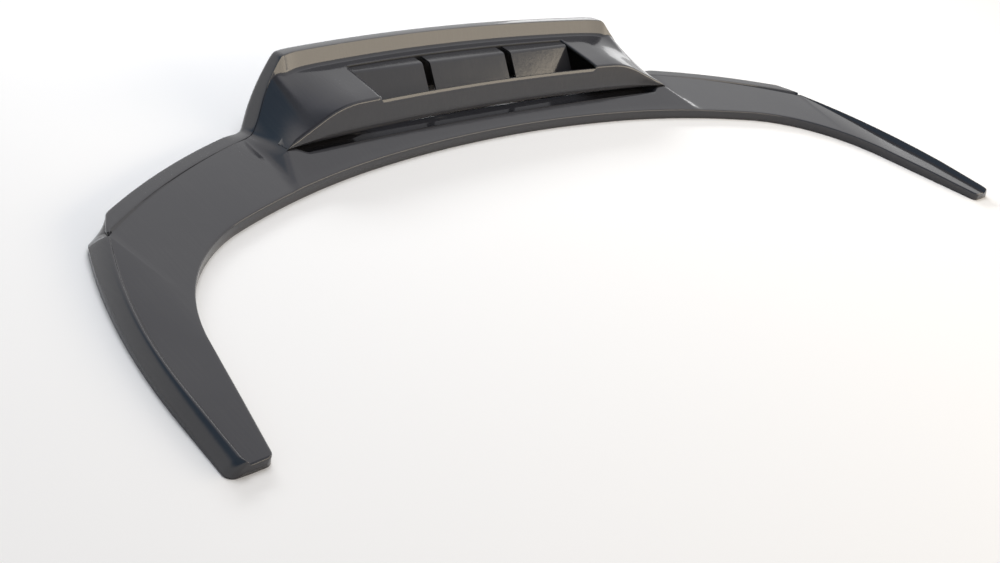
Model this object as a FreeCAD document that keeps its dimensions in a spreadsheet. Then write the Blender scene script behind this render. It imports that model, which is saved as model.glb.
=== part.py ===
import FreeCAD, Part
import math
import os

# Rear bumper splitter: a U-shaped skin, formed from one plastic sheet and open underneath, with a bent
# sheet glued behind the window in its hood.
# It lies on its turned-down edges: X runs across the car, +Y to the rear, +Z up.
# Lengths in millimetres, directions in degrees from +X, heights over the ground or over the plate.
SIZES = (
    ("overall_width", 1664),
    ("overall_depth", 703),
    ("wall", 4),
    ("plate_height", 17.5),
    # Inner edge, from the middle of the bay to the arm's tip.
    ("centre_depth", 203.5),
    ("bay_radius", 1900),
    ("bay_heading", 8.4),
    ("bay_turn_heading", 22.7),
    ("bay_corner_radius", 282),
    ("arm_inner_heading", 79),
    ("tip_width", 54),
    ("tip_inner_radius", 8),
    ("tip_outer_radius", 12),
    # Outer edge, from the middle of the rear to the arm's tip.
    ("rear_bow_radius", 2570),
    ("rear_bow_half", 328),
    ("hood_corner_radius", 165),
    ("hood_side_heading", 46),
    ("hood_side_run", 19),
    ("hood_root_radius", 70),
    ("rear_heading", 21.5),
    ("rear_run", 26),
    ("corner_heading", 38),
    ("corner_radius", 48),
    ("arm_start_heading", 71),
    ("arm_radius", 1020),
    ("arm_end_heading", 89),
    # Raised rim along the rear, and the stepped band along each arm.
    ("rim_width", 24),
    ("rim_shoulder_half", 352),
    ("rim_foot_half", 468),
    ("rim_top", 98),
    ("rim_foot_top", 8),
    ("rim_nose_top", 15),
    ("rim_shoulder_radius", 20),
    ("rim_foot_radius", 40),
    ("rim_edge_radius", 5),
    ("band_step", 2),
    ("band_edge_radius", 7),
    # Plate: how far its outer border lies above its inner edge.
    ("crease_heading", 65),
    ("rear_rise", 6),
    ("corner_rise", 7),
    ("arm_rise", -4),
    ("tip_rise", -2),
    ("tip_fall", 4),
    # Hood over the middle, its lip, the gap under the lip and the window.
    ("hood_top", 75),
    ("hood_top_half", 338),
    ("hood_foot_half", 460),
    ("hood_edge_radius", 30),
    ("hood_step_radius", 10),
    ("lip_setback", 42),
    ("lip_bow_radius", 3345),
    ("lip_bottom", 20),
    ("lip_edge_radius", 8),
    ("ramp_slope", 15),
    ("window_half", 245),
    ("window_depth", 103),
    ("window_bow_radius", 3000),
    # Insert behind the window.
    ("insert_gap", 2),
    ("insert_wall", 3),
    ("insert_glue", 18),
    ("insert_shelf", 26),
    ("insert_drop", 58),
    ("insert_slope", 52),
    ("insert_bend_radius", 8),
    ("slot_place", 93),
    ("slot_width", 16),
)

doc = FreeCAD.newDocument("splitter")
sheet = doc.addObject("Spreadsheet::Sheet", "Sizes")
for row, (alias, number) in enumerate(SIZES, start=1):
    sheet.set(f"A{row}", alias)
    sheet.set(f"B{row}", str(number))
    sheet.setAlias(f"B{row}", alias)
doc.recompute()


def size(alias):
    return float(sheet.get(alias))


HALF = size("overall_width") / 2
REAR = size("overall_depth") / 2
WALL = size("wall")
PLATE = size("plate_height")
# Cutters reach this far past the part, so that they always go right through it.
BEYOND = size("overall_depth")
# Lines that carry a surface are drawn this share of their length past each end.
REACH_IN = 0.6
REACH_OUT = 1.2
# A cutter that opens a wall goes this many walls deep.
THROUGH = 1.5
# A rounding leaves at least this share of its wall's height straight.
STRAIGHT = 0.2


def vec(x, y, z=0.0):
    return FreeCAD.Vector(x, y, z)


def turn_by(radius, start, end):
    """Displacement along an arc whose heading goes from start to end, left when end is larger."""
    side = 1 if end > start else -1
    a = math.radians(start)
    b = math.radians(end)
    return vec(side * radius * (math.sin(b) - math.sin(a)), side * radius * (math.cos(a) - math.cos(b)))


def along(length, heading):
    return vec(length * math.cos(math.radians(heading)), length * math.sin(math.radians(heading)))


def left_of(heading):
    return along(1.0, heading + 90)


def follow(start, heading, pieces, shift=0.0):
    """Edges and joints of a run of tangent pieces, moved sideways by shift, left positive.

    A piece is (radius, new heading) for an arc or (length, None) for a straight run.
    """
    point = start + left_of(heading) * shift
    edges = []
    joints = [point]
    for amount, new_heading in pieces:
        if new_heading is None:
            end = point + along(amount, heading)
            edges.append(Part.LineSegment(point, end).toShape())
        else:
            radius = amount - shift if new_heading > heading else amount + shift
            middle = point + turn_by(radius, heading, (heading + new_heading) / 2)
            end = point + turn_by(radius, heading, new_heading)
            edges.append(Part.Arc(point, middle, end).toShape())
            heading = new_heading
        point = end
        joints.append(point)
    return edges, joints


def sum_of(pieces, heading):
    total = vec(0, 0)
    for amount, new_heading in pieces:
        if new_heading is None:
            total += along(amount, heading)
        else:
            total += turn_by(amount, heading, new_heading)
            heading = new_heading
    return total


def solve_pair(first, second, target):
    """Lengths that add up to target along two directions."""
    det = first.x * second.y - first.y * second.x
    return (
        (target.x * second.y - target.y * second.x) / det,
        (first.x * target.y - first.y * target.x) / det,
    )


# Inner edge: two wide arcs, a corner arc, the straight arm and the rounded tip.
# The second arc's radius and the arm's length follow from the tip's place.
INNER_START = vec(0, REAR - size("centre_depth"))
BAY = -size("bay_heading")
BAY_TURN = -size("bay_turn_heading")
ARM_IN = -size("arm_inner_heading")


def inner_pieces():
    first = [(size("bay_radius"), BAY)]
    corner = [(size("bay_corner_radius"), ARM_IN)]
    tip = [(size("tip_inner_radius"), 0)]
    fixed = sum_of(first, 0) + sum_of(corner, BAY_TURN)
    tip_turn = sum_of(tip, ARM_IN)
    target = vec(HALF - size("tip_width"), -REAR - tip_turn.y) - INNER_START - fixed
    radius, arm = solve_pair(turn_by(1.0, BAY, BAY_TURN), along(1.0, ARM_IN), target)
    return first + [(radius, BAY_TURN)] + corner + [(arm, None)] + tip


# Outer edge: the bowed rear, the hood's corner and side, the rear run, the corner and the arm.
# The radius between the rear run and the corner, and the arm's end, follow from the overall width and depth.
OUTER_START = vec(0, REAR)
REAR_RUN = -size("rear_heading")
ARM_OUT = -size("arm_end_heading")


def outer_pieces():
    bow_heading = -math.degrees(math.asin(size("rear_bow_half") / size("rear_bow_radius")))
    corner_start = -size("corner_heading")
    hood = [
        (size("rear_bow_radius"), bow_heading),
        (size("hood_corner_radius"), -size("hood_side_heading")),
        (size("hood_side_run"), None),
        (size("hood_root_radius"), REAR_RUN),
        (size("rear_run"), None),
    ]
    corner = [
        (size("corner_radius"), -size("arm_start_heading")),
        (size("arm_radius"), ARM_OUT),
    ]
    tip = [(size("tip_outer_radius"), -180)]
    fixed = sum_of(hood, 0) + sum_of(corner, corner_start)
    tip_turn = sum_of(tip, ARM_OUT)
    target = vec(HALF, -REAR - tip_turn.y) - OUTER_START - fixed
    radius, arm = solve_pair(turn_by(1.0, REAR_RUN, corner_start), along(1.0, ARM_OUT), target)
    return hood + [(radius, corner_start)] + corner + [(arm, None)] + tip


INNER = inner_pieces()
OUTER = outer_pieces()
# The outer edge's piece that turns the corner, where the rim stops and the arm's band starts.
CORNER = 6
inner_joints = follow(INNER_START, 0, INNER)[1]
outer_joints = follow(OUTER_START, 0, OUTER)[1]
crest_joints = follow(OUTER_START, 0, OUTER, -size("rim_width"))[1]


def feature(name, shape):
    made = doc.addObject("Part::Feature", name)
    made.Shape = shape
    return made


def closed_face(edges):
    """Face inside edges that run end to end, closed by straight lines where they don't meet."""
    loop = []
    for edge, following in zip(edges, edges[1:] + edges[:1]):
        loop.append(edge)
        end = edge.lastVertex(True).Point
        start = following.firstVertex(True).Point
        if end.distanceToPoint(start) > 1e-6:
            loop.append(Part.LineSegment(end, start).toShape())
    return Part.Face(Part.Wire(loop))


def backwards(edges):
    return [edge.reversed() for edge in reversed(edges)]


def line(start, end):
    return Part.LineSegment(start, end).toShape()


def extrude(name, base, direction, length):
    """Solid or surface swept straight from base; length is an expression over the sheet."""
    made = doc.addObject("Part::Extrusion", name)
    made.Base = base
    made.DirMode = "Custom"
    made.Dir = direction
    made.Solid = True
    made.setExpression("LengthFwd", length)
    return made


def pair(kind, name, base, tool):
    made = doc.addObject(kind, name)
    made.Base = base
    made.Tool = tool
    return made


def cut(name, base, tool):
    return pair("Part::Cut", name, base, tool)


def common(name, base, tool):
    return pair("Part::Common", name, base, tool)


def fuse(name, shapes):
    made = doc.addObject("Part::MultiFuse", name)
    made.Shapes = shapes
    return made


def loft(name, sections, solid):
    made = doc.addObject("Part::Loft", name)
    made.Sections = sections
    made.Solid = solid
    made.Ruled = solid
    return made


def rounded(name, base, radius, inset, chosen):
    """Round the outside's edges that chosen accepts, all by one radius. The hollow stays sharp."""
    if inset:
        return base
    doc.recompute()
    made = doc.addObject("Part::Fillet", name)
    made.Base = base
    made.Edges = [
        (index, radius, radius)
        for index, edge in enumerate(base.Shape.Edges, start=1)
        if chosen(edge)
    ]
    return made


def middle_of(edge):
    return edge.valueAt((edge.FirstParameter + edge.LastParameter) / 2)


def footprint_face(inset):
    inner = follow(INNER_START, 0, INNER, inset)[0]
    outer = follow(OUTER_START, 0, OUTER, -inset)[0]
    return closed_face(inner + backwards(outer))


def ruling(name, start, end, start_z, end_z):
    """Straight line of the plate's surface, drawn out past the plate at both ends."""
    low = vec(start.x, start.y, start_z)
    high = vec(end.x, end.y, end_z)
    step = high - low
    return feature(name, line(low - step * REACH_IN, high + step * REACH_OUT))


def above(name, sections, drop):
    """Everything above the surface that passes through the given rulings, lowered by drop."""
    surface = loft(name + "_surface", sections, False)
    made = extrude(name, surface, vec(0, 0, 1), "Sizes.overall_depth")
    made.Placement.Base = vec(0, 0, -drop)
    return made


def mirrored(point):
    return vec(-point.x, point.y)


def halfway(first, second):
    return (first + second) * 0.5


# Rulings of the plate, each from the inner edge out to the crest line where the rim or band starts.
crease_in = inner_joints[2] + turn_by(size("bay_corner_radius"), BAY_TURN, -size("crease_heading"))
hood_in = halfway(inner_joints[1], inner_joints[2])
corner_out = crest_joints[CORNER + 1]
arm_turn = (-size("arm_start_heading"), -(size("arm_start_heading") + size("arm_end_heading")) / 2)
arm_out = corner_out + turn_by(size("arm_radius") - size("rim_width"), *arm_turn)
arm_edge = outer_joints[CORNER + 1] + turn_by(size("arm_radius"), *arm_turn)
past_tip = vec(0, -2 * size("tip_outer_radius"))
plate_z = PLATE + size("rear_rise")
corner_z = PLATE + size("corner_rise")
arm_z = PLATE + size("arm_rise")
tip_in_z = PLATE - size("tip_fall")
tip_z = tip_in_z + size("tip_rise")
crease_ruling = ruling("ruling_crease", crease_in, corner_out, PLATE, corner_z)
REAR_PLATE = [
    ruling("ruling_mirror", mirrored(hood_in), mirrored(crest_joints[4]), PLATE, plate_z),
    ruling("ruling_centre", inner_joints[0], crest_joints[0], PLATE, plate_z),
    ruling("ruling_hood", hood_in, crest_joints[4], PLATE, plate_z),
    ruling("ruling_rear", inner_joints[2], halfway(crest_joints[5], crest_joints[CORNER]), PLATE, plate_z),
    crease_ruling,
]
ARM_PLATE = [
    crease_ruling,
    ruling("ruling_arm", inner_joints[3], arm_out, PLATE, arm_z),
    ruling("ruling_tip", inner_joints[4] + past_tip, crest_joints[-2] + past_tip, tip_in_z, tip_z),
]

# Rulings of the arm's band, each level, from the crest line to the outer edge.
BAND = [
    ruling("band_corner", corner_out, outer_joints[CORNER], corner_z, corner_z),
    ruling("band_arm", arm_out, arm_edge, arm_z, arm_z),
    ruling("band_tip", crest_joints[-2] + past_tip, outer_joints[-2] + past_tip, tip_z, tip_z),
]
band_height = min(corner_z, arm_z, tip_z) - size("band_step")
BAND_ROUND = min(size("band_edge_radius"), band_height * (1 - STRAIGHT))


# The ramp climbs from the inner edge to the hood's lip, straight towards the rear.
def ramp_ruling(name, point):
    low = vec(point.x, point.y, PLATE)
    step = vec(0, 1, math.tan(math.radians(size("ramp_slope")))) * size("centre_depth")
    return feature(name, line(low - step * REACH_IN, low + step))


RAMP = [
    ramp_ruling("ramp_mirror", mirrored(inner_joints[1])),
    ramp_ruling("ramp_centre", inner_joints[0]),
    ramp_ruling("ramp_bay", inner_joints[1]),
    ramp_ruling("ramp_side", inner_joints[2]),
]


def rounded_face(corners, to_space):
    """Flat face with straight sides. A corner is (across, up, radius); to_space places it."""
    points = [FreeCAD.Vector(across, up, 0) for across, up, radius in corners]
    radii = [radius for across, up, radius in corners]
    edges = []
    for index, point in enumerate(points):
        back = (points[index - 1] - point).normalize()
        ahead = (points[(index + 1) % len(points)] - point).normalize()
        if not radii[index]:
            edges.append((to_space(point), None, to_space(point)))
            continue
        half_angle = back.getAngle(ahead) / 2
        reach = radii[index] / math.tan(half_angle)
        centre = point + (back + ahead).normalize() * (radii[index] / math.sin(half_angle))
        crown = centre + (point - centre).normalize() * radii[index]
        edges.append((to_space(point + back * reach), to_space(crown), to_space(point + ahead * reach)))
    loop = []
    for (start, crown, end), (following, _, _) in zip(edges, edges[1:] + edges[:1]):
        if crown:
            loop.append(Part.Arc(start, crown, end).toShape())
        loop.append(line(end, following))
    return Part.Face(Part.Wire(loop))


def on_front(point):
    """Across and up, drawn on the upright plane in front of the part."""
    return vec(point.x, -BEYOND, point.y)


# Outline of the hood seen from the front: flat top, straight flanks.
hood_front = feature("hood_front", rounded_face((
    (-HALF, -BEYOND, 0),
    (size("hood_foot_half"), -BEYOND, 0),
    (size("hood_foot_half"), PLATE, 0),
    (size("hood_top_half"), PLATE + size("hood_top"), size("hood_edge_radius")),
    (-HALF, PLATE + size("hood_top"), 0),
), on_front))

# Outline of the rim seen from the front: over the hood, down its side and along the plate.
rim_front = feature("rim_front", rounded_face((
    (-HALF, -BEYOND, 0),
    (HALF + BEYOND, -BEYOND, 0),
    (HALF + BEYOND, PLATE + size("rim_nose_top"), 0),
    (HALF, PLATE + size("rim_nose_top"), 0),
    (size("rim_foot_half"), PLATE + size("rim_foot_top"), size("rim_foot_radius")),
    (size("rim_shoulder_half"), PLATE + size("rim_top"), size("rim_shoulder_radius")),
    (-HALF, PLATE + size("rim_top"), 0),
), on_front))

LIP = inner_joints[0].y + size("lip_setback")


def lip_front(name, height):
    """Level face in front of the lip. The lip is straight at the hood's top and bows below it."""
    share = (size("hood_top") - height) / (size("hood_top") - size("lip_bottom"))
    bow = share * HALF ** 2 / (2 * size("lip_bow_radius"))
    z = PLATE + height
    lip = Part.Arc(vec(HALF, LIP - bow, z), vec(0, LIP, z), vec(-HALF, LIP - bow, z)).toShape()
    front = line(vec(-HALF, -BEYOND, z), vec(HALF, -BEYOND, z))
    return feature(name, closed_face([front, lip]))


LIP_SECTIONS = [
    lip_front("lip_low", -2 * size("lip_bottom")),
    lip_front("lip_high", size("hood_top") + 2 * size("lip_bottom")),
]


def rim_face(inset):
    """Plan of the rim: a strip along the rear whose outer side curves in to a nose at the corner.

    The nose is an arc that leaves the outer edge where the corner starts and ends on the crest line.
    """
    corner = size("corner_radius")
    crest = corner - size("rim_width")
    heading = OUTER[CORNER - 1][1]
    forward = along(1.0, heading)
    inward = along(1.0, heading - 90)
    start = outer_joints[CORNER]
    chord = corner_out - start
    nose = chord.dot(chord) / (2 * chord.dot(inward))
    # The nose, moved in, meets the crest line, moved out, this far aside of the corner's centre and ahead.
    apart = corner - nose
    aside = ((crest + inset) ** 2 - (nose - inset) ** 2 + apart ** 2) / (2 * apart)
    ahead = math.sqrt((crest + inset) ** 2 - aside ** 2)
    first = start + inward * inset
    last = start + inward * (corner - aside) + forward * ahead
    centre = start + inward * nose
    crown = centre + (halfway(first, last) - centre).normalize() * (nose - inset)
    turn = math.degrees(math.asin(ahead / (crest + inset)))
    rear = OUTER[:CORNER]
    outer_edges = follow(OUTER_START, 0, rear, -inset)[0]
    outer_edges.append(Part.Arc(first, crown, last).toShape())
    crest_edges = follow(OUTER_START, 0, rear + [(corner, heading - turn)], inset - size("rim_width"))[0]
    return closed_face(outer_edges + backwards(crest_edges))


def band_face():
    """Plan of the arm's band from the corner to past the tip, drawn wider than the band."""
    pieces = OUTER[CORNER:CORNER + 3] + [(2 * size("tip_outer_radius"), None)]
    start = outer_joints[CORNER]
    heading = OUTER[CORNER - 1][1]
    outer = follow(start, heading, pieces, size("rim_width"))[0]
    crest = follow(start, heading, pieces, -size("rim_width"))[0]
    return closed_face(outer + backwards(crest))


def inset_face(name, source, inset):
    if not inset:
        return source
    made = doc.addObject("Part::Offset2D", name)
    made.Source = source
    made.setExpression("Value", "-Sizes.wall")
    return made


def follows(edge, path, low):
    """True for an edge above low that runs along path, seen from above."""
    middle = middle_of(edge)
    upright = edge.BoundBox.ZLength > edge.BoundBox.DiagonalLength / 2
    apart = path.distToShape(Part.Vertex(middle.x, middle.y, 0))[0]
    return middle.z > low and not upright and apart < WALL / 2


def envelope(tag, inset):
    """Half of the solid under the skin: its outside with no inset, its hollow with the wall as inset."""
    up = vec(0, 0, 1)
    rearward = vec(0, 1, 0)
    footprint = feature(tag + "_footprint", footprint_face(inset))
    footprint.Placement.Base = vec(0, 0, -BEYOND / 2 if inset else 0)
    block = extrude(tag + "_block", footprint, up, "Sizes.overall_depth")

    # Plate, without the strips along its outer edge that the rim and the arm's band fill.
    rim_plan = feature(tag + "_rim_plan", rim_face(inset))
    rim_strip = extrude(tag + "_rim_strip", rim_plan, up, "Sizes.overall_depth")
    over_rear = above(tag + "_over_rear", REAR_PLATE, inset)
    over_arm = above(tag + "_over_arm", ARM_PLATE, inset)
    over_band = above(tag + "_over_band", BAND, inset + size("band_step"))
    arm_column = extrude(tag + "_arm_column", over_band.Base, up, "2 * Sizes.overall_depth")
    arm_column.Symmetric = True
    band_plan = feature(tag + "_band_plan", band_face())
    band_bar = extrude(tag + "_band_bar", band_plan, up, "2 * Sizes.overall_depth")
    band_bar.Symmetric = True
    strip = common(tag + "_strip", band_bar, arm_column)
    plate = cut(tag + "_plate_rear", block, over_rear)
    plate = cut(tag + "_plate_arm", plate, over_arm)
    plate = cut(tag + "_plate_band", plate, strip)
    plate = cut(tag + "_plate", plate, rim_strip)

    # Band: that strip, stepped down and rounded over.
    arm_path = Part.Wire(follow(OUTER_START, 0, OUTER)[0][CORNER:CORNER + 3])
    band = cut(tag + "_band_step", common(tag + "_band_block", block, strip), over_band)
    band = rounded(tag + "_band", band, BAND_ROUND, inset, lambda edge: follows(edge, arm_path, 0))

    # Hood: it ends at the lip, and below the lip it goes on as a ramp.
    front = inset_face(tag + "_hood_front", hood_front, inset)
    hood = extrude(tag + "_hood_bar", front, rearward, "2 * Sizes.overall_depth")
    hood = common(tag + "_hood_block", hood, block)
    before_lip = loft(tag + "_before_lip", LIP_SECTIONS, True)
    before_lip.Placement.Base = vec(0, inset, 0)
    over_ramp = above(tag + "_over_ramp", RAMP, inset)
    hood = cut(tag + "_hood_lip", hood, common(tag + "_hood_cut", before_lip, over_ramp))
    lip_path = line(vec(0, LIP), vec(size("hood_top_half"), LIP))
    lip_z = PLATE + size("hood_top") - WALL / 2
    lip_round = size("lip_edge_radius")
    hood = rounded(tag + "_hood", hood, lip_round, inset, lambda edge: follows(edge, lip_path, lip_z))

    # Rim, rounded along its outer edge.
    front = inset_face(tag + "_rim_front", rim_front, inset)
    rim_bar = extrude(tag + "_rim_bar", front, rearward, "2 * Sizes.overall_depth")
    rim = common(tag + "_rim_block", rim_strip, rim_bar)
    rim_path = Part.Wire(rim_plan.Shape.Edges[:CORNER + 1])
    rim_round = size("rim_edge_radius")
    rim = rounded(tag + "_rim", rim, rim_round, inset, lambda edge: follows(edge, rim_path, PLATE / 2))
    return fuse(tag, [plate, band, hood, rim])


# The step from the hood's top up to the rim has a soft foot.
sharp = envelope("outside", 0)
step_z = PLATE + size("hood_top")
step_path = Part.Wire(follow(OUTER_START, 0, OUTER[:CORNER], -size("rim_width"))[0])
outside = rounded(
    "outside_step", sharp, size("hood_step_radius"), 0,
    lambda edge: follows(edge, step_path, step_z - WALL / 2) and middle_of(edge).z < step_z + WALL / 2)
hollow = envelope("hollow", WALL)
skin = cut("skin", outside, hollow)

# Window in the hood's top, right behind the lip's wall, with a bowed back edge.
WINDOW_FRONT = LIP + WALL
WINDOW_BACK = WINDOW_FRONT + size("window_depth")


def window_face():
    half = size("window_half")
    bow = half ** 2 / (2 * size("window_bow_radius"))
    front = line(vec(-half, WINDOW_FRONT), vec(half, WINDOW_FRONT))
    back = Part.Arc(vec(half, WINDOW_BACK - bow), vec(0, WINDOW_BACK), vec(-half, WINDOW_BACK - bow))
    return closed_face([front, back.toShape()])


window_plan = feature("window_plan", window_face())
window_plan.Placement.Base = vec(0, 0, PLATE + size("lip_bottom"))
window = extrude("window", window_plan, vec(0, 0, 1), "Sizes.overall_depth")

# Gap under the lip: it stays open from the ramp up to the lip's lower edge.
flank = (size("hood_foot_half") - size("hood_top_half")) / size("hood_top")
gap_half = size("hood_foot_half") - flank * size("lip_bottom")
gap_box = doc.addObject("Part::Box", "gap_box")
gap_box.Placement.Base = vec(-gap_half, -BEYOND, 0)
gap_box.Length = 2 * gap_half
gap_box.setExpression("Width", "2 * Sizes.overall_depth")
gap_box.setExpression("Height", "Sizes.plate_height + Sizes.lip_bottom")
gap_lip = loft("gap_lip", LIP_SECTIONS, True)
gap_lip.Placement.Base = vec(0, THROUGH * WALL, 0)
gap_front = common("gap_front", gap_lip, above("gap_over_ramp", RAMP, 0))
gap = common("gap", gap_front, gap_box)

half_shell = cut("half_shell", skin, fuse("openings", [window, gap]))
other_half = doc.addObject("Part::Mirroring", "other_half")
other_half.Source = half_shell
other_half.Base = vec(0, 0, 0)
other_half.Normal = vec(1, 0, 0)
shell = fuse("shell", [half_shell, other_half])
shell.Refine = False
shell.Label = "splitter_shell"

# Insert: a bent sheet glued under the hood's top behind the window, in three tongues with slots between.
INSERT_TOP = PLATE + size("hood_top") - WALL
INSERT_HALF = size("window_half") - size("insert_gap")
insert_slope = math.radians(size("insert_slope"))
insert_wall = size("insert_wall")
bend = size("insert_bend_radius")
back_y = WINDOW_BACK + size("insert_glue")
bend_y = WINDOW_BACK - size("insert_shelf")
foot_y = bend_y - size("insert_drop") / math.tan(insert_slope)
foot_z = INSERT_TOP - size("insert_drop")
under_y = insert_wall * math.sin(insert_slope)
under_z = insert_wall * math.cos(insert_slope)


def on_side(point):
    """Rearward and up, drawn on the upright plane at the insert's end."""
    return vec(-INSERT_HALF, point.x, point.y)


insert_profile = feature("insert_profile", rounded_face((
    (back_y, INSERT_TOP, 0),
    (bend_y, INSERT_TOP, bend),
    (foot_y, foot_z, 0),
    (foot_y + under_y, foot_z - under_z, 0),
    (bend_y + insert_wall * math.tan(insert_slope / 2), INSERT_TOP - insert_wall, bend - insert_wall),
    (back_y, INSERT_TOP - insert_wall, 0),
), on_side))
insert_bar = extrude("insert_bar", insert_profile, vec(1, 0, 0), "2 * (Sizes.window_half - Sizes.insert_gap)")


def slot(name, place):
    made = doc.addObject("Part::Box", name)
    made.Placement.Base = vec(place - size("slot_width") / 2, -BEYOND, -BEYOND)
    made.setExpression("Length", "Sizes.slot_width")
    made.Width = BEYOND + WINDOW_BACK - size("insert_gap")
    made.setExpression("Height", "2 * Sizes.overall_depth")
    return made


slots = fuse("slots", [slot("slot_right", size("slot_place")), slot("slot_left", -size("slot_place"))])
insert = cut("insert", insert_bar, slots)
insert.Label = "vent_insert"

doc.recompute()
PIECES = (shell, insert)
failed = [made.Name for made in doc.Objects if "Invalid" in made.State or "Error" in made.State]
failed += [piece.Label for piece in PIECES if piece.Shape.isNull() or not piece.Shape.isValid()]
if failed:
    raise RuntimeError("could not build " + ", ".join(failed))
os.makedirs("parts", exist_ok=True)
for piece in PIECES:
    piece.Shape.exportStep("parts/" + piece.Label + ".step")
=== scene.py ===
# %% [markdown]
# # A rear bumper splitter in gloss black plastic
#
# The part is one thin skin, formed from a heated plastic sheet, with a slotted insert glued behind the window
# in its hood. This lesson loads the solid model as a fixed frame, lays a smooth skin over its shell with numpy
# and gives both pieces the finish of a polished sheet. +X runs across the car, +Y to its rear and +Z up. The
# sizes are written in millimetres, as on a pattern maker's drawing, and turned into metres for the mesh.

import math

import bmesh
import bpy
import numpy as np
from mathutils import Matrix, Vector


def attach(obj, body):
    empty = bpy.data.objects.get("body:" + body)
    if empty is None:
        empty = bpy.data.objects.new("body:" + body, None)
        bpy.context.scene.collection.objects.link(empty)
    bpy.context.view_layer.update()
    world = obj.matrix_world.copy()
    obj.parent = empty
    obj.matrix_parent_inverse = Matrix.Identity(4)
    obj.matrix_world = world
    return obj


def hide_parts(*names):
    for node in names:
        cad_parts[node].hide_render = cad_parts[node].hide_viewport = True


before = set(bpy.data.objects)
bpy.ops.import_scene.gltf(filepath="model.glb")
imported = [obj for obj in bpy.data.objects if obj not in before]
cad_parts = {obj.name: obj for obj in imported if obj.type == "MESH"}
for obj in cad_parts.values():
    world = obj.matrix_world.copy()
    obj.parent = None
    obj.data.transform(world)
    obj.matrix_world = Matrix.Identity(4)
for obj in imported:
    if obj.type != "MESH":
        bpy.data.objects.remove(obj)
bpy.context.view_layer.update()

# %% [markdown]
# ## Outlines as runs of arcs
#
# A formed part has tangent outlines: the pattern maker joins arcs and straight runs end to end, so that light
# glides round the corners without a break. A Bezier curve could be bent until it looks similar, but a run of
# arcs is exact, and a line parallel to it is again a run of arcs, which the rim along the edge needs.

# %% Runs of arcs
def run(start, pieces):
    """Joints of a run of tangent pieces that sets off along +X, as rows of x, y and heading.

    A piece is (radius, new heading in degrees) for an arc, or (length, None) for a straight. An arc moves the
    point by radius * (sin b - sin a, cos a - cos b) from heading a to b, with the signs turned on a right turn.
    """
    rows = [(*start, 0.0)]
    for amount, new in pieces:
        x, y, heading = rows[-1]
        a = math.radians(heading)
        if new is None:
            rows.append((x + amount * math.cos(a), y + amount * math.sin(a), heading))
        else:
            b = math.radians(new)
            turned = math.copysign(amount, new - heading)
            rows.append((x + turned * (math.sin(b) - math.sin(a)), y + turned * (math.cos(a) - math.cos(b)), new))
    return np.array(rows)


def on_run(rows, q):
    """Points and headings at the places q along a run, where 2.5 is half-way along its third piece.

    The heading turns evenly along a piece, so a point lies on the chord from the piece's first joint: its
    length is arc length * sinc(half the turn so far), its direction the mean of the two headings.
    """
    i = np.clip(np.floor(q).astype(int), 0, len(rows) - 2)
    part = q - i
    a = np.radians(rows[i, 2])
    turn = np.radians(rows[i + 1, 2]) - a
    chord = np.hypot(rows[i + 1, 0] - rows[i, 0], rows[i + 1, 1] - rows[i, 1])
    reach = chord / np.sinc(turn / 2 / np.pi) * part * np.sinc(turn * part / 2 / np.pi)
    mean = a + turn * part / 2
    return rows[i, 0] + reach * np.cos(mean), rows[i, 1] + reach * np.sin(mean), a + turn * part


def solved(start, before, turn, after, goal):
    """Radius of the arc through turn, and length of the last straight, that bring a run to its goal."""
    fixed = run(start, before + [(0.0, turn[1])] + after)[-1]
    arc = run((0, 0), [(0.0, turn[0]), (1.0, turn[1])])[-1]
    straight = run((0, 0), [(0.0, fixed[2]), (1.0, None)])[-1]
    radius, length = np.linalg.solve(np.column_stack([arc[:2], straight[:2]]), goal - fixed[:2])
    return run(start, before + [(radius, turn[1])] + after + [(length, None)])


REAR, RIM = 351.5, 24.0
BOW = math.degrees(math.asin(328 / 2570))
inner_edge = solved((0, 148), [(1900, -8.4)], (-8.4, -22.7), [(282, -79)], np.array([779.26, -REAR]))
outer_edge = solved((0, REAR), [(2570, -BOW), (165, -46), (19, None), (70, -21.5), (26, None)], (-21.5, -38),
                    [(48, -71), (1020, -89)], np.array([832.2, -REAR]))
print("inner edge", inner_edge.round(1).tolist())
print("outer edge", outer_edge.round(1).tolist())

# %% [markdown]
# ## Columns across the skin
#
# The skin is one grid. Its columns cross the part from the inner edge, over the plate or the hood, to the outer
# edge, and its rows run along it from the middle to the tip of an arm. A column is set by its place on the outer
# edge, and the places crowd together where the form turns fast: at the hood's side, the nose of the rim and the
# tip. Only the right half is drawn, because a formed splitter is the same on both sides of the car.

# %% Places of the columns
WINDOW_SIDE = 245


def evenly(first, last, count):
    """Places from first up to, but not including, last."""
    return np.linspace(first, last, count, endpoint=False)


bow_x = np.concatenate([evenly(0, WINDOW_SIDE, 36), evenly(WINDOW_SIDE, 324.8, 14)])
bow_q = np.degrees(np.arcsin(bow_x / (2570 - RIM))) / BOW
arm_left = np.array([90, 80, 70, 60, 50, 40, 30, 22, 16, 12, 9.5, 7.5, 5.5, 4, 3, 2, 1.2, 0.6, 0.2, 0])
arm_length = math.hypot(*(outer_edge[-1, :2] - outer_edge[-2, :2]))
q = np.concatenate([bow_q, evenly(1, 2, 30), evenly(2, 3, 6), evenly(3, 4, 14), evenly(4, 5, 8), evenly(5, 5.7, 26),
                    evenly(5.7, 6, 20), evenly(6, 7, 14), evenly(7, 8, 36), 9 - arm_left / arm_length])
out_x, out_y, heading = on_run(outer_edge, q)
away = np.array([-np.sin(heading), np.cos(heading)])
crest_x, crest_y = out_x - RIM * away[0], out_y - RIM * away[1]
from_tip = np.maximum(out_y + REAR, 0)
print(len(q), "columns")

# %% [markdown]
# The rim ends in a nose just past the corner. Over the last stretch its outer side moves in until it meets the inner
# side. A square end would be simpler to draw, but a formed sheet needs the taper to come off its mould.

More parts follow.
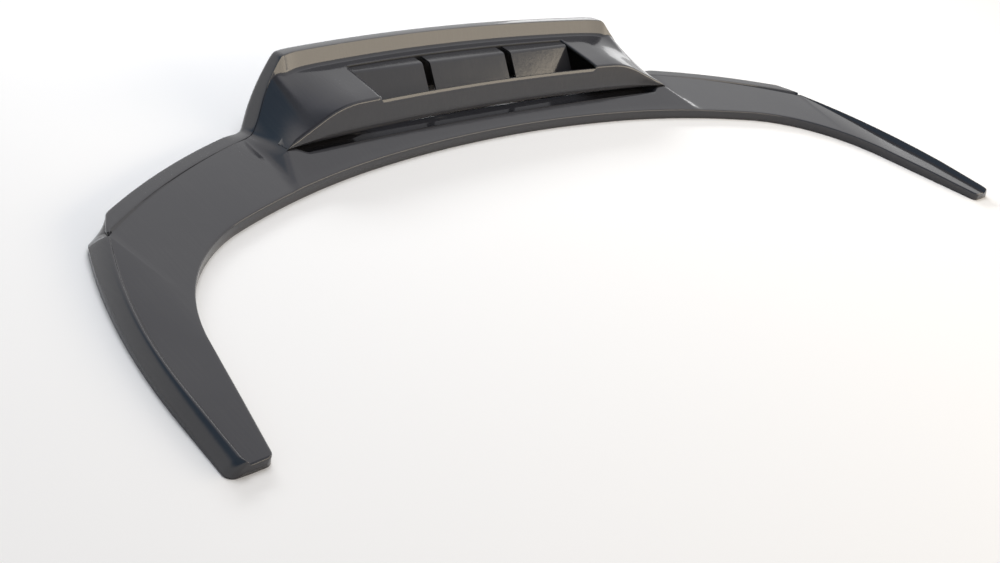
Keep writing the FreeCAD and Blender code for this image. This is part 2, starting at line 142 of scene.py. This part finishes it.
# %% Nose of the rim
NOSE_BEFORE, NOSE_LENGTH = 38, 56


def lengths(x, y):
    """Distance along a line of points, from its first point."""
    return np.concatenate([[0], np.cumsum(np.hypot(np.diff(x), np.diff(y)))])


def eased(x):
    """0 below 0, 1 above 1, and 3x^2 - 2x^3 between."""
    x = np.clip(x, 0, 1)
    return x * x * (3 - 2 * x)


edge_s = lengths(out_x, out_y)
corner_s = np.interp(6, q, edge_s)
to_nose = (edge_s - corner_s + NOSE_BEFORE) / NOSE_LENGTH
moved_in = RIM * np.clip(np.where(to_nose < 0.2, 2.5 * np.clip(to_nose, 0, 1) ** 2, to_nose - 0.1) / 0.9, 0, 1)
has_rim = (q < 6.9) & (moved_in < RIM - 0.5)
moved_in[~has_rim] = RIM
print("nose from column", int(np.argmax(moved_in > 0)), "to", int(np.argmax(~has_rim)))

# %% [markdown]
# The inner end of a column follows from its outer end. Across the hood the columns point straight to the rear,
# so that the window gets straight sides; round the corner they fan out like the spokes of a wheel. A cubic
# through a few pairs of places along both edges gives that change without a visible step.

# %% Inner ends of the columns
def through(at, knots, values):
    """Cubic Hermite curve through the values at the knots, with slopes from the neighbouring knots."""
    slopes = np.gradient(values, knots)
    i = np.clip(np.searchsorted(knots, at) - 1, 0, len(knots) - 2)
    step = knots[i + 1] - knots[i]
    t = (at - knots[i]) / step
    return ((1 + 2 * t) * (1 - t) ** 2 * values[i] + t * (1 - t) ** 2 * step * slopes[i]
            + t ** 2 * (3 - 2 * t) * values[i + 1] - t ** 2 * (1 - t) * step * slopes[i + 1])


fine_q = np.linspace(0, 4, 4001)
fine_x, fine_y, _ = on_run(inner_edge, fine_q)
fine_s = lengths(fine_x, fine_y)
crest_s = lengths(crest_x, crest_y)
crease_q = 2 + (65 - 22.7) / (79 - 22.7)
pair_q = np.array([4.0, 5.5, 7.0, 7.5])
pair_in = np.array([1.5, 2.0, crease_q, 3.0])
hood_x = np.array([0, 80, 160, WINDOW_SIDE, 300, 338])
knots = np.concatenate([np.interp(hood_x, crest_x[:60], crest_s[:60]), np.interp(pair_q, q, crest_s),
                        crest_s[-1] - np.array([25.0, 0])])
ends = np.concatenate([np.interp(hood_x, fine_x[:2500], fine_s[:2500]), np.interp(pair_in, fine_q, fine_s),
                       fine_s[-1] - np.array([25.0, 0]) / math.sin(math.radians(79))])
in_q = np.interp(through(crest_s, knots, ends), fine_s, fine_q)
in_x, in_y, _ = on_run(inner_edge, in_q)
across = np.hypot(crest_x - in_x, crest_y - in_y)
print("column lengths", across.min().round(1), "to", across.max().round(1))

# %% [markdown]
# ## Heights
#
# The plate is almost flat: from its inner edge it rises a few millimetres to the rear, and falls a little to the
# outside along the arms, which leaves a soft crease across each corner. Over its middle stands the hood, with a
# flat top and straight flanks, and a ramp climbs to the hood's lip. A formed sheet can't turn sharply, so where
# two of these surfaces meet they are blended over a short stretch.

# %% Heights of plate, ramp, hood and rim
PLATE, HOOD, LIP_LOW = 17.5, 75.0, 20.0
HOOD_TOP_X, HOOD_FOOT_X = 338, 460
RIM_HIGH, RIM_LOW, RIM_NOSE = 98, 8, 13
RIM_TOP_X, RIM_FOOT_X, RIM_REAR_X, RIM_NOSE_X = 362, 440, 468, 832
RAMP = math.radians(15)
ARM_Q = np.array([7, 7.31, 7.63, 8, 9.0])


def soft_max(a, b, reach):
    """The larger of two heights, lifted by reach / 4 where they are equal and blended until they differ by reach."""
    near = np.maximum(reach - np.abs(a - b), 0) / reach
    return np.maximum(a, b) + near ** 2 * reach / 4


def soft_min(a, b, reach):
    """The smaller of two heights, blended in the same way."""
    return -soft_max(-a, -b, reach)


def hood_outline(x):
    """Height over the plate of the hood's top and flank at the distance x from the middle."""
    return soft_min(HOOD + 0 * x, (HOOD_FOOT_X - x) * HOOD / (HOOD_FOOT_X - HOOD_TOP_X), 32.0)


def rim_outline(x):
    """Height over the plate of the rim's top: level over the hood, down its side, then slowly up to the nose."""
    side = RIM_LOW + (RIM_FOOT_X - x) * (RIM_HIGH - RIM_LOW) / (RIM_FOOT_X - RIM_TOP_X)
    rear = RIM_LOW + (x - RIM_REAR_X) * (RIM_NOSE - RIM_LOW) / (RIM_NOSE_X - RIM_REAR_X)
    return soft_min(RIM_HIGH + 0 * x, soft_max(side, rear, 8.0), 6.0)


def ramp(x, y):
    """Height of the slope that climbs from the inner edge: the way behind that edge, times the slope."""
    return (y - np.interp(x, fine_x[:2700], fine_y[:2700])) * math.tan(RAMP)


edge_drop = np.interp(q, [0, 7.5, 9.0], [0, 0, -4.0])
border_rise = np.where(q < 7, through(q, np.array([0, 3.5, 5, 6, 7.0]), np.array([6, 6, 8, 8.6, 9.0])),
                       through(q, ARM_Q, np.array([9, 3.9, -0.8, -2.2, -4.8])))
print("rim rises", rim_outline(np.array([0.0, 400, 468, 760])).round(1).tolist())

# %% [markdown]
# ## Rows over the plate and the hood
#
# From the inner edge the rows climb the turned-down wall, round over its top and cross the plate and the ramp. In
# the middle they stop behind the lip, which leaves the dark gap under it open, and start again at the lip's lower
# edge. Past the end of the lip both sets of rows join. Cutting the gap out of a closed solid would do as well, but
# its edges would then be as ragged as the cut, while rows that follow the lip give it a clean edge.

# %% Ground, and the line of the lip
LIP_Y, LIP_BOW, UNDER_LIP, TOP_FALL = 190, 6690, 30, 9.0
FLANK_END, FLANK_FADE = 435, 50


def place(t):
    """Point at the share t of each column, from the inner edge at 0 to the foot of the rim at 1."""
    return in_x + t * (crest_x - in_x), in_y + t * (crest_y - in_y)


def ground(t, ramped):
    """Height over the plate's level: the plate, or the hood where that is higher, or the ramp before its lip."""
    x, y = place(t)
    if ramped:
        hood = soft_min(hood_outline(x), ramp(x, y), 1.2)
    else:
        to_rim = np.clip((t - t_lip) / (1 - t_lip), 0, 1)
        hood = hood_outline(x) + flank_lift * to_rim ** 1.5 - top_fall * (1 - to_rim)
    return soft_max(edge_drop + (border_rise - edge_drop) * t, hood, 3.0)


def shares(*values):
    """The values as a column, so that they meet every column of the skin."""
    return np.array(values, float)[:, None]


span = crest_y - in_y
lip_x = crest_x
for _ in range(4):
    lip_y = LIP_Y - lip_x ** 2 / LIP_BOW
    lip_x = in_x + (lip_y - in_y) / span * (crest_x - in_x)
top_fall = TOP_FALL * eased((hood_outline(lip_x) - LIP_LOW) / 40)
lip_rise = np.maximum(hood_outline(lip_x) - top_fall - LIP_LOW, 0)
first_plain = int(np.argmax(lip_rise <= 0))
on_lip = np.arange(len(q)) < first_plain
t_lip = np.where(on_lip, (lip_y - in_y) / span, ((lip_y - in_y) / span)[first_plain - 1])
spread = eased((crest_s - crest_s[first_plain - 1]) / 60)
t_lip = t_lip + spread * (0.5 - t_lip)
flank_lift = soft_min(HOOD + 0 * crest_x, rim_outline(crest_x) - 1.5, 12.0) - hood_outline(crest_x)
flank_lift = flank_lift * (1 - eased((crest_x - FLANK_END) / FLANK_FADE))
under_lip = UNDER_LIP * np.clip((LIP_LOW - ramp(lip_x, lip_y)) / 3, 0, 1) * on_lip
t_front = t_lip + under_lip / np.where(on_lip, span, 1)
print("lip ends at column", first_plain, "x", lip_x[first_plain].round(1))

# %% [markdown]
# Under the lip the ramp sinks into a groove, which makes the gap look deep and dark. The rows before the lip end
# inside that groove.

# %% Rows before the lip
EDGE, GROOVE, GROOVE_DEEP, GROOVE_END, GROOVE_FADE = 2.5, 12.0, 9.0, 418, 25
fi = np.radians(shares(0, 30, 60, 90))
t_edge = EDGE * (1 - np.cos(fi)) / across
grooved = eased((GROOVE_END - lip_x) / GROOVE_FADE) * on_lip
t_groove = t_lip - GROOVE * grooved / np.where(on_lip, span, 1)
front_t = EDGE / across + (t_groove - EDGE / across) * shares(*np.linspace(0, 1, 10)[1:])
sink = shares(0.06, 0.13, 0.2, 0.27, 0.34, 0.6, 1)
groove_t = t_groove + (t_front - t_groove) * sink
groove_z = ground(groove_t, True)
groove_z = groove_z + grooved * (ground(t_groove, True) - GROOVE_DEEP * eased(sink * 3) - groove_z)
inner_t = np.vstack([0 * across[None], t_edge, front_t, groove_t])
inner_z = np.vstack([0 * across[None] - PLATE, ground(t_edge, True) - EDGE * (1 - np.sin(fi)), ground(front_t, True),
                     groove_z])
print("rows before the lip", len(inner_t))

# %% [markdown]
# The lip is a wall that leans back and turns over into the hood's top. Between the sides of the window that turn is
# cut away together with the window. At the rear the top runs up into the rim over a leaning wall with a rounded foot,
# as a sheet does that is drawn over a step.

# %% Rows of the lip and the hood's top
LIP_ROUND, LIP_LEAN, LEAN = 5, math.radians(12), math.radians(62)
WINDOW_Y, WINDOW_BOW = 297, 6000
lip_round = np.minimum(LIP_ROUND, lip_rise / 2)
up = shares(0, 0.25, 0.5, 0.75, 1) * (lip_rise - lip_round)
fi = np.radians(shares(15, 30, 45, 60, 75, 90))
over = lip_rise - lip_round * (1 - np.sin(fi))
lip_up = np.vstack([up, over])
lip_back = lip_up * math.tan(LIP_LEAN)
lip_back[len(up):] += lip_round * (1 - np.cos(fi))
lip_t = t_lip + lip_back * on_lip / np.where(on_lip, span, 1)

step = rim_outline(crest_x) - ground(1.0, False)
foot_round = np.where(has_rim, np.clip(step * 0.35, 0.2, 8), 0)
foot = np.where(has_rim, step / math.tan(LEAN) + foot_round * math.tan(LEAN / 2), 0)
t_foot = 1 - foot / across
window_t = (WINDOW_Y - crest_x ** 2 / WINDOW_BOW - in_y) / np.where(on_lip, span, 1)
window_t = window_t + eased((crest_x - 250) / 70) * (lip_t[-1] + 0.72 * (t_foot - lip_t[-1]) - window_t)
side_t = lip_t[-1] + (window_t - lip_t[-1]) * shares(0.15, 0.35, 0.55, 0.75, 0.9, 1)
back_t = window_t + (t_foot - window_t) * shares(0.25, 0.5, 0.75, 1)
hood_t = np.vstack([lip_t, side_t, back_t])
even_t = t_lip + (t_foot - t_lip) * np.linspace(0, 1, len(hood_t))[:, None]
hood_t = hood_t + spread * (even_t - hood_t)
hood_z = ground(hood_t, False)
hood_z[:len(lip_up)] = np.where(on_lip, LIP_LOW + lip_up, hood_z[:len(lip_up)])
fi = LEAN * shares(0.2, 0.4, 0.6, 0.8, 1)
step_t = 1 - (foot - foot_round * np.sin(fi)) / across
step_z = ground(step_t, False) + has_rim * foot_round * (1 - np.cos(fi))
print("step up to the rim", step[has_rim].min().round(1), "to", step.max().round(1))

# %% [markdown]
# ## Rows of the rim and the band
#
# A raised rim runs along the rear, where it follows the hood up and down again, and ends in a beak-like nose at the
# corner. Along the arm its place is taken by a band: a wall leans up to a crest, from where the band falls away to
# the outer wall, ever more steeply. Both share one set of rows, each a distance in from the outer edge: on the rear
# the band's rows shrink to nothing, on the arm the rim's do.

# %% Rows from the rim to the ground
BAND_FALL, WALL_RUN = 17.0, 0.9
band_top = np.where(q < 7, border_rise + np.interp(q, [6.2, 7], [-5, 0.5]),
                    through(q, ARM_Q, np.array([9.5, 8.7, 7.2, 5.6, 1.6])))
band_rise = np.where(has_rim, 0, np.maximum(band_top - border_rise, 0))
crest_d = np.where(has_rim, moved_in, RIM - WALL_RUN * band_rise)


def top_height(d):
    """Height of the rim's top, or on the arm of the plate's border, at d in from the outer edge."""
    crown = 3.5 * (1 - eased((q - 3.5) / 1.5)) * np.clip(1 - d / RIM, 0, 1) ** 1.5
    return np.where(has_rim, rim_outline(out_x - d * away[0]) - crown, border_rise)


def band_height(d):
    """Height of the band: a wall that leans outwards up to the crest, then a fall that steepens to the outer wall."""
    part = np.clip(d / np.maximum(crest_d, 1e-6), 0, 1)
    outer = band_top - BAND_FALL * (1 - part) ** 1.6
    wall = border_rise + (RIM - d) / WALL_RUN
    return np.where(has_rim, outer, soft_min(wall, outer, np.minimum(2.5, band_rise + 0.1)))


rim_wide = RIM - moved_in
inner_round = np.minimum(1.5, rim_wide / 4)
outer_round = np.minimum(np.interp(q, [3.5, 5], [5, 3.5]), rim_wide / 2)
fi = np.radians(shares(0, 45, 90))
d_in = RIM - inner_round * (1 - np.cos(fi))
z_in = top_height(d_in) - inner_round * (1 - np.sin(fi))
d_top = RIM - inner_round - (rim_wide - inner_round - outer_round) * shares(0.25, 0.5, 0.75, 1)
fi = np.radians(shares(15, 30, 45, 60, 75, 90))
d_out = moved_in + outer_round * (1 - np.sin(fi))
z_out = top_height(d_out) - outer_round * (1 - np.cos(fi))
d_flat = moved_in + (crest_d - moved_in) * shares(0, 0.3, 0.6, 0.8, 0.9, 1)
d_turn = crest_d * (1 - shares(0.04, 0.09, 0.16, 0.25, 0.36, 0.48, 0.6, 0.73, 0.87, 1))
rim_d = np.vstack([d_in, d_top, d_out, d_flat, d_turn, 0 * across[None], 0 * across[None]])
rim_z = np.vstack([z_in, top_height(d_top), z_out, band_height(d_flat), band_height(d_turn),
                   band_height(0)[None] / 2 - PLATE / 2, 0 * across[None] - PLATE])
print("rows", len(inner_t), len(hood_t), len(step_t), len(rim_d))

# %% [markdown]
# ## The skin
#
# The rows are stacked into one grid. At the tip the columns draw in to round its two corners, and one last column
# drops to the ground as the front wall. The grid is then mirrored, its doubled points are merged along the middle,
# and Solidify gives the sheet its wall of 4 mm, inwards, so that the outside stays where it is.

# %% The grid
t_all = np.vstack([inner_t, hood_t, step_t])
x_t, y_t = place(t_all)
grid_x = np.vstack([x_t, out_x - rim_d * away[0]])
grid_y = np.vstack([y_t, out_y - rim_d * away[1]])
grid_z = np.vstack([inner_z, hood_z, step_z, rim_z]) + PLATE

width = across + RIM
lateral = np.vstack([t_all * across, width - rim_d]) / width
ahead_x, ahead_y = (out_x - in_x) / width, (out_y - in_y) / width


def draw_in(radius):
    """How far a tip corner of that radius lies inside the square corner, at each column."""
    return radius - np.sqrt(radius ** 2 - np.maximum(radius - from_tip, 0) ** 2)


shift = draw_in(8) * (1 - lateral) - draw_in(12) * lateral
grid_x = grid_x + shift * ahead_x
grid_y = grid_y + shift * ahead_y
grid_z = np.maximum(grid_z - draw_in(3), 0)
points = np.stack([grid_x, grid_y, grid_z], axis=-1)
front = points[:, -1:, :] * np.array([1, 1, 0.5])
points = np.concatenate([points, front, front * np.array([1, 1, 0])], axis=1)
print("grid", points.shape)

# %% [markdown]
# A grid of quads would close the gap and the window, so the faces across them are left out. The mirrored half has its
# faces turned over, to keep them facing outward.

# %% Faces, mirrored half and mesh
rows, columns = points.shape[:2]
keep = np.ones((rows - 1, columns - 1), bool)
lip_row = len(inner_t)
keep[lip_row - 1, :first_plain - 1] = False
window_column = int(np.searchsorted(bow_x, WINDOW_SIDE - 0.1))
window_row = lip_row + len(lip_up) + len(side_t) - 1
keep[lip_row + len(up) - 1:window_row, :window_column] = False
r, c = np.nonzero(keep)
corner = r * columns + c
faces = np.column_stack([corner, corner + 1, corner + columns + 1, corner + columns])
right = points.reshape(-1, 3) * 0.001
left = right * np.array([-1, 1, 1])
vertices = np.vstack([right, left])
faces = np.vstack([faces, faces[:, ::-1] + len(right)])


def mesh_of(name, vertices, faces):
    """Mesh of quads from whole arrays, with doubled points merged and faces that shrank to nothing removed."""
    mesh = bpy.data.meshes.new(name)
    mesh.from_pydata(vertices.tolist(), [], faces.tolist())
    merged = bmesh.new()
    merged.from_mesh(mesh)
    bmesh.ops.remove_doubles(merged, verts=merged.verts, dist=2e-5)
    bmesh.ops.dissolve_degenerate(merged, dist=1e-5, edges=merged.edges)
    merged.to_mesh(mesh)
    merged.free()
    mesh.shade_smooth()
    mesh.set_sharp_from_angle(angle=math.radians(38))
    return mesh


shell = bpy.data.objects.new("shell_skin", mesh_of("shell_skin", vertices, faces))
bpy.context.collection.objects.link(shell)
wall = shell.modifiers.new("sheet", "SOLIDIFY")
wall.thickness = 0.004
wall.offset = -1
wall.use_even_offset = False
# The sheet's cut edge takes the second material, whose near-black colour is painted shade.
wall.material_offset_rim = 1
weighted = shell.modifiers.new("even_light", "WEIGHTED_NORMAL")
weighted.keep_sharp = True
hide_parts("splitter_shell")
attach(shell, "root")
print("skin", len(shell.data.vertices), "points", len(shell.data.polygons), "faces")

# %% [markdown]
# ## Gloss black plastic
#
# Formed sheet leaves the oven with a fine orange peel, a ripple of a few millimetres that softens the reflections,
# and picks up dust and hairline scratches from the wiping cloth. A plain glossy shader would look like glass. The
# peel and the haze are one node group, because the shell and the insert are formed from the same sheet. The group
# reads Object coordinates, so that the pattern stays with the piece. Where the sheet is trimmed, its cut edge is
# rough; its colour is painted near black, as painted shade for the thin edge in shadow. The insert keeps the form of
# the solid model and is a little duller.

# %% Node group for the formed sheet
def node(tree, kind, **values):
    """New node of that kind, with its settings."""
    made = tree.nodes.new(kind)
    for name, value in values.items():
        setattr(made, name, value)
    return made


def sheet_surface():
    """Group with the sheet's height ripple, its haze of dust and scratches, and a colour that varies a little."""
    tree = bpy.data.node_groups.new("formed_sheet", "ShaderNodeTree")
    socket = tree.interface.new_socket
    for name, value in (("Peel Size", 130.0), ("Haze", 0.025), ("Gloss", 0.09)):
        socket(name, in_out="INPUT", socket_type="NodeSocketFloat").default_value = value
    socket("Dark", in_out="INPUT", socket_type="NodeSocketColor")
    socket("Worn", in_out="INPUT", socket_type="NodeSocketColor")
    socket("Colour", in_out="OUTPUT", socket_type="NodeSocketColor")
    socket("Roughness", in_out="OUTPUT", socket_type="NodeSocketFloat")
    socket("Height", in_out="OUTPUT", socket_type="NodeSocketFloat")
    into = node(tree, "NodeGroupInput")
    out = node(tree, "NodeGroupOutput")
    link = tree.links.new
    spot = node(tree, "ShaderNodeTexCoord").outputs["Object"]

    peel = node(tree, "ShaderNodeTexNoise")
    peel.inputs["Detail"].default_value = 1.0
    link(spot, peel.inputs["Vector"])
    link(into.outputs["Peel Size"], peel.inputs["Scale"])
    slow = node(tree, "ShaderNodeTexNoise")
    slow.inputs["Scale"].default_value = 9.0
    slow.inputs["Detail"].default_value = 2.0
    link(spot, slow.inputs["Vector"])
    height = node(tree, "ShaderNodeMath", operation="MULTIPLY_ADD")
    height.inputs[1].default_value = 6.0
    link(slow.outputs["Fac"], height.inputs[0])
    link(peel.outputs["Fac"], height.inputs[2])
    link(height.outputs["Value"], out.inputs["Height"])

    wipe = node(tree, "ShaderNodeMapping")
    wipe.inputs["Rotation"].default_value = (0, 0, 0.6)
    wipe.inputs["Scale"].default_value = (260, 9, 60)
    link(spot, wipe.inputs["Vector"])
    hair = node(tree, "ShaderNodeTexNoise")
    hair.inputs["Scale"].default_value = 1.0
    hair.inputs["Detail"].default_value = 3.0
    link(wipe.outputs["Vector"], hair.inputs["Vector"])
    dust = node(tree, "ShaderNodeTexNoise")
    dust.inputs["Scale"].default_value = 14.0
    dust.inputs["Detail"].default_value = 6.0
    link(spot, dust.inputs["Vector"])
    both = node(tree, "ShaderNodeMath", operation="MULTIPLY")
    link(hair.outputs["Fac"], both.inputs[0])
    link(dust.outputs["Fac"], both.inputs[1])
    haze = node(tree, "ShaderNodeMapRange")
    haze.inputs["From Min"].default_value = 0.2
    haze.inputs["From Max"].default_value = 0.45
    link(both.outputs["Value"], haze.inputs["Value"])
    rough = node(tree, "ShaderNodeMath", operation="MULTIPLY_ADD")
    link(haze.outputs["Result"], rough.inputs[0])
    link(into.outputs["Haze"], rough.inputs[1])
    link(into.outputs["Gloss"], rough.inputs[2])
    link(rough.outputs["Value"], out.inputs["Roughness"])
    tint = node(tree, "ShaderNodeMix", data_type="RGBA")
    link(haze.outputs["Result"], tint.inputs["Factor"])
    link(into.outputs["Dark"], tint.inputs["A"])
    link(into.outputs["Worn"], tint.inputs["B"])
    link(tint.outputs["Result"], out.inputs["Colour"])
    return tree


SHEET = sheet_surface()
print("group", SHEET.name)

# %% Plastic of the shell, its cut edge and the insert
def gloss_plastic(name, dark, worn, gloss):
    """Black plastic over the shared sheet: colour, roughness and a faint bump from the group."""
    made = bpy.data.materials.new(name)
    made.use_nodes = True
    tree = made.node_tree
    shader = tree.nodes["Principled BSDF"]
    shader.inputs["IOR"].default_value = 1.5
    sheet = node(tree, "ShaderNodeGroup", node_tree=SHEET)
    sheet.inputs["Dark"].default_value = (*dark, 1)
    sheet.inputs["Worn"].default_value = (*worn, 1)
    sheet.inputs["Gloss"].default_value = gloss
    bump = node(tree, "ShaderNodeBump")
    bump.inputs["Strength"].default_value = 0.05
    bump.inputs["Distance"].default_value = 0.001
    tree.links.new(sheet.outputs["Height"], bump.inputs["Height"])
    tree.links.new(bump.outputs["Normal"], shader.inputs["Normal"])
    tree.links.new(sheet.outputs["Colour"], shader.inputs["Base Color"])
    tree.links.new(sheet.outputs["Roughness"], shader.inputs["Roughness"])
    return made


shell.data.materials.append(gloss_plastic("shell_plastic", (0.032, 0.032, 0.037), (0.036, 0.036, 0.040), 0.09))
# The cut edge is the same sheet, but its near-black colour is painted shade for the thin edge in shadow; its
# roughness is real.
shell.data.materials.append(gloss_plastic("cut_edge_painted_shade", (0.006, 0.006, 0.007), (0.012, 0.012, 0.012), 0.55))
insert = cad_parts["vent_insert"]
insert.data.materials.clear()
insert.data.materials.append(gloss_plastic("insert_plastic", (0.032, 0.032, 0.036), (0.036, 0.036, 0.039), 0.12))
print("materials", [made.name for made in bpy.data.materials])

# %% [markdown]
# ## Floor, light and camera
#
# A glossy black part shows what stands round it, more than its own colour. It lies on a white floor in a white
# room, which draws the pale sheen on the plates. The ceiling is dark, and a dark blue cloth hangs high on the left:
# they draw the dark lines along the rounded edges and the deep flank of the hood. A warm panel in front lights the
# wall over the hood. The two panels above and behind only give light and shadow, and don't show in the gloss.

# %% Floor
FLOOR_HALF = 2.6


def plane(name, half):
    """Square on the ground, of half that many metres to each side of the middle."""
    corners = np.array([(-1, -1, 0), (1, -1, 0), (1, 1, 0), (-1, 1, 0)]) * half
    mesh = bpy.data.meshes.new(name)
    mesh.from_pydata(corners.tolist(), [], [(0, 1, 2, 3)])
    made = bpy.data.objects.new(name, mesh)
    bpy.context.collection.objects.link(made)
    return made


floor = plane("floor", FLOOR_HALF)
white = bpy.data.materials.new("floor_white")
white.use_nodes = True
shader = white.node_tree.nodes["Principled BSDF"]
shader.inputs["Base Color"].default_value = (0.93, 0.93, 0.93, 1)
shader.inputs["Roughness"].default_value = 0.9
shader.inputs["Specular IOR Level"].default_value = 0.0
floor.data.materials.append(white)
print("floor", 2 * FLOOR_HALF, "m square")

# %% [markdown]
# In the gloss the room is white all round and dark overhead: a ramp over the height of a direction gives that. The
# cloth is a second colour, mixed in where a direction points high and to the left.

# %% Room as the gloss sees it
world = bpy.data.worlds.new("white_room")
bpy.context.scene.world = world
world.use_nodes = True
tree = world.node_tree
direction = node(tree, "ShaderNodeSeparateXYZ")
tree.links.new(node(tree, "ShaderNodeTexCoord").outputs["Generated"], direction.inputs["Vector"])
ceiling = node(tree, "ShaderNodeValToRGB")
stops = ((0.0, (1, 1, 1)), (0.4, (1, 1, 1)), (0.74, (0.97, 0.97, 1)), (0.84, (0.8, 0.82, 0.9)),
         (0.92, (0.2, 0.24, 0.3)), (1.0, (0.04, 0.05, 0.06)))
marks = ceiling.color_ramp.elements
marks[0].position, marks[0].color = stops[0][0], (*stops[0][1], 1)
marks[1].position, marks[1].color = stops[-1][0], (*stops[-1][1], 1)
for height, colour in stops[1:-1]:
    marks.new(height).color = (*colour, 1)
tree.links.new(direction.outputs["Z"], ceiling.inputs["Fac"])
seen = node(tree, "ShaderNodeBackground")


def rising(value, low, high):
    """0 below low, 1 above high and smooth between."""
    made = node(tree, "ShaderNodeMapRange", interpolation_type="SMOOTHSTEP")
    made.inputs["From Min"].default_value = low
    made.inputs["From Max"].default_value = high
    tree.links.new(value, made.inputs["Value"])
    return made.outputs["Result"]


leftness = node(tree, "ShaderNodeMath", operation="MULTIPLY")
leftness.inputs[1].default_value = -1.0
tree.links.new(direction.outputs["X"], leftness.inputs[0])
cloth = node(tree, "ShaderNodeMath", operation="MULTIPLY")
tree.links.new(rising(leftness.outputs["Value"], 0.02, 0.3), cloth.inputs[0])
tree.links.new(rising(direction.outputs["Z"], 0.4, 0.62), cloth.inputs[1])
around = node(tree, "ShaderNodeMix", data_type="RGBA")
around.inputs["B"].default_value = (0.10, 0.26, 0.42, 1)
tree.links.new(cloth.outputs["Value"], around.inputs["Factor"])
tree.links.new(ceiling.outputs["Color"], around.inputs["A"])
tree.links.new(around.outputs["Result"], seen.inputs["Color"])
print("ramp stops", len(marks))

# %% [markdown]
# Rays from the camera, the gloss and clear pieces see that room. The matt floor gets a plain grey light instead, so
# that it keeps the soft shadow of the part.

# %% Light for the matt floor
room = tree.nodes["Background"]
room.inputs["Color"].default_value = (0.31, 0.315, 0.335, 1)
path = node(tree, "ShaderNodeLightPath")
either = node(tree, "ShaderNodeMath", operation="MAXIMUM")
tree.links.new(path.outputs["Is Camera Ray"], either.inputs[0])
tree.links.new(path.outputs["Is Glossy Ray"], either.inputs[1])
any_ray = node(tree, "ShaderNodeMath", operation="MAXIMUM")
tree.links.new(either.outputs["Value"], any_ray.inputs[0])
tree.links.new(path.outputs["Is Transmission Ray"], any_ray.inputs[1])
mix = node(tree, "ShaderNodeMixShader")
tree.links.new(any_ray.outputs["Value"], mix.inputs["Fac"])
tree.links.new(room.outputs["Background"], mix.inputs[1])
tree.links.new(seen.outputs["Background"], mix.inputs[2])
tree.links.new(mix.outputs["Shader"], tree.nodes["World Output"].inputs["Surface"])
print("world", world.name)

# %% [markdown]
# The panels are large, because a small lamp would draw a hard spot in the gloss and a hard shadow on the floor.

# %% Soft panels
def panel(name, place, target, size, power, colour=(1, 1, 1)):
    """Area lamp at a place, turned to face the target."""
    lamp = bpy.data.lights.new(name, "AREA")
    lamp.shape = "RECTANGLE"
    lamp.size, lamp.size_y = size
    lamp.energy = power
    lamp.color = colour
    made = bpy.data.objects.new(name, lamp)
    made.location = place
    made.rotation_euler = (Vector(target) - Vector(place)).to_track_quat("-Z", "Y").to_euler()
    bpy.context.collection.objects.link(made)
    return made


top_panel = panel("top_panel", (0.3, 0.9, 3.0), (0, 0.1, 0), (2.2, 2.0), 50, (0.97, 0.985, 1))
rear_panel = panel("rear_panel", (0.8, 3.4, 1.5), (0, 0.1, 0), (3.0, 0.8), 84, (0.98, 0.99, 1))
top_panel.visible_glossy = False
rear_panel.visible_glossy = False
panel("front_strip", (2.0, -2.6, 1.45), (0, 0.1, 0.05), (5.4, 1.2), 84, (1, 0.85, 0.64))
panel("side_panel", (4.2, 2.4, 0.85), (0, 0, 0.05), (3.0, 0.8), 12)
print("lamps", [lamp.name for lamp in bpy.data.lights])

# %% [markdown]
# The camera was fitted to the outlines of the part in its photograph. Its axes are the picture's right, down and
# forward directions. It is rolled a little, because in the picture the part is tipped up at its rear.

# %% Camera
camera = bpy.data.objects.new("camera", bpy.data.cameras.new("camera"))
to_right, down, forward = (Vector(v).normalized() for v in (
    (0.7226, -0.6537, 0.2249), (-0.2176, -0.5238, -0.8236), (0.6562, 0.5462, -0.5207)))
turn = Matrix((to_right, -down, -forward)).transposed().to_4x4()
camera.matrix_world = Matrix.Translation((-1.3558, -1.0567, 0.8278)) @ turn
camera.data.lens = 42.31
camera.data.sensor_width = 36.0
bpy.context.collection.objects.link(camera)
bpy.context.scene.camera = camera
bpy.context.scene.view_settings.view_transform = "Standard"
print("camera lens", round(camera.data.lens, 2))
